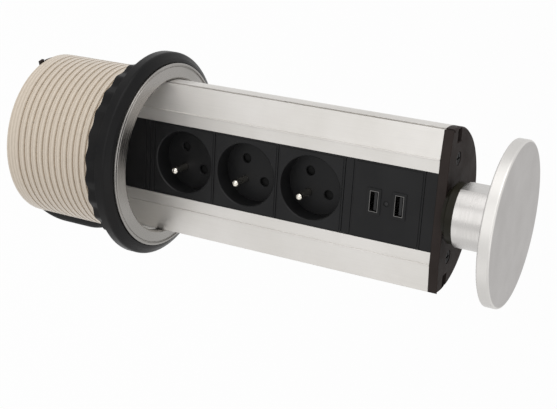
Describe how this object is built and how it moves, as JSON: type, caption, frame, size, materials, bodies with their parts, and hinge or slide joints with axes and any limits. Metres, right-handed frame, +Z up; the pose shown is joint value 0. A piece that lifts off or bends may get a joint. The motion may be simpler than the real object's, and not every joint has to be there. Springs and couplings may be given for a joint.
{
  "type": "pop-up desk socket",
  "caption": "Round pull-up power tower that slides through a threaded desk sleeve, with earthed sockets, charging ports, a disc knob and a supply cord.",
  "frame": {"origin": "centre of the flange's underside, in the worktop's upper surface, on the tower's axis", "axes": "+Z up along the tower towards the knob, -Y the way the sockets face, +X to the right seen from the sockets' side"},
  "size_m": [0.16, 0.1942, 0.419],
  "materials": {
    "black_plastic": "fine satin",
    "beige_plastic": "satin",
    "grey_plastic": "matt",
    "board_green": "matt",
    "satin_aluminium": "anodised",
    "satin_ring": "satin",
    "bright_steel": "nickel plated",
    "zinc_steel": "zinc plated",
    "black_steel": "blackened",
    "brass": "stamped",
    "black_rubber": "matt",
    "felt": "felt"
  },
  "bodies": {
    "mounting": {"collar_flange": "black_plastic", "trim_ring": "satin_ring", "threaded_sleeve": "beige_plastic", "felt_pads": "felt"},
    "tower": {"bottom_cap": "black_plastic", "bottom_cap_screws": "zinc_steel", "charger_base": "black_plastic", "charger_board": "board_green", "charger_components": "black_plastic", "charger_front": "black_plastic", "charger_light": "black_plastic", "charger_port_shells": "bright_steel", "charger_port_tongues": "black_plastic", "cord_gland": "black_plastic", "cord_inner_length": "black_rubber", "cord_tie": "black_plastic", "earth_bar": "brass", "inlet_block": "grey_plastic", "knob_boss": "black_plastic", "knob_disc": "satin_aluminium", "knob_neck": "satin_aluminium", "knob_screws": "zinc_steel", "live_bar": "brass", "lower_strip_cover": "black_plastic", "middle_strip_cover": "black_plastic", "neutral_bar": "brass", "plug_body": "black_rubber", "plug_earth_clips": "bright_steel", "plug_pins": "bright_steel", "socket_1_base": "black_plastic", "socket_1_contacts": "brass", "socket_1_earth_pin": "bright_steel", "socket_1_front": "black_plastic", "socket_2_base": "black_plastic", "socket_2_contacts": "brass", "socket_2_earth_pin": "bright_steel", "socket_2_front": "black_plastic", "socket_3_base": "black_plastic", "socket_3_contacts": "brass", "socket_3_earth_pin": "bright_steel", "socket_3_front": "black_plastic", "supply_cord": "black_rubber", "supply_cord_coil": "black_rubber", "supply_cord_tail": "black_rubber", "top_cap": "black_plastic", "top_cap_screws": "black_steel", "tower_profile": "satin_aluminium", "upper_strip_cover": "black_plastic"},
    "slip_washer": {"slip_washer": "black_plastic"},
    "locking_nut": {"locking_nut": "black_plastic"},
    "shutter_1": {"socket_1_shutter": "grey_plastic"},
    "shutter_2": {"socket_2_shutter": "grey_plastic"},
    "shutter_3": {"socket_3_shutter": "grey_plastic"}
  },
  "joints": [
    {"name": "tower_slide", "type": "slide", "parent": "mounting", "child": "tower", "axis": [0, 0, 1], "range_m": [-0.2314, 0]},
    {"name": "nut_spin", "type": "hinge", "parent": "slip_washer", "child": "locking_nut", "pos_m": [0, 0, -0.0074], "axis": [0, 0, -1], "range_deg": [0, 4350]},
    {"name": "nut_travel", "type": "slide", "parent": "mounting", "child": "slip_washer", "axis": [0, 0, -1], "range_m": [0, 0.058]},
    {"name": "shutter_1_turn", "type": "hinge", "parent": "tower", "child": "shutter_1", "pos_m": [0, 0.0081, 0.0278], "axis": [0, 1, 0], "range_deg": [0, 40], "stiffness_Nm_per_rad": 0.0004, "springref_deg": -28.65},
    {"name": "shutter_2_turn", "type": "hinge", "parent": "tower", "child": "shutter_2", "pos_m": [0, 0.0081, 0.0728], "axis": [0, 1, 0], "range_deg": [0, 40], "stiffness_Nm_per_rad": 0.0004, "springref_deg": -28.65},
    {"name": "shutter_3_turn", "type": "hinge", "parent": "tower", "child": "shutter_3", "pos_m": [0, 0.0081, 0.1178], "axis": [0, 1, 0], "range_deg": [0, 40], "stiffness_Nm_per_rad": 0.0004, "springref_deg": -28.65}
  ],
  "couplings": [
    {"joint": "nut_travel", "follows": "nut_spin", "m_per_rad": 0.00076394}
  ]
}
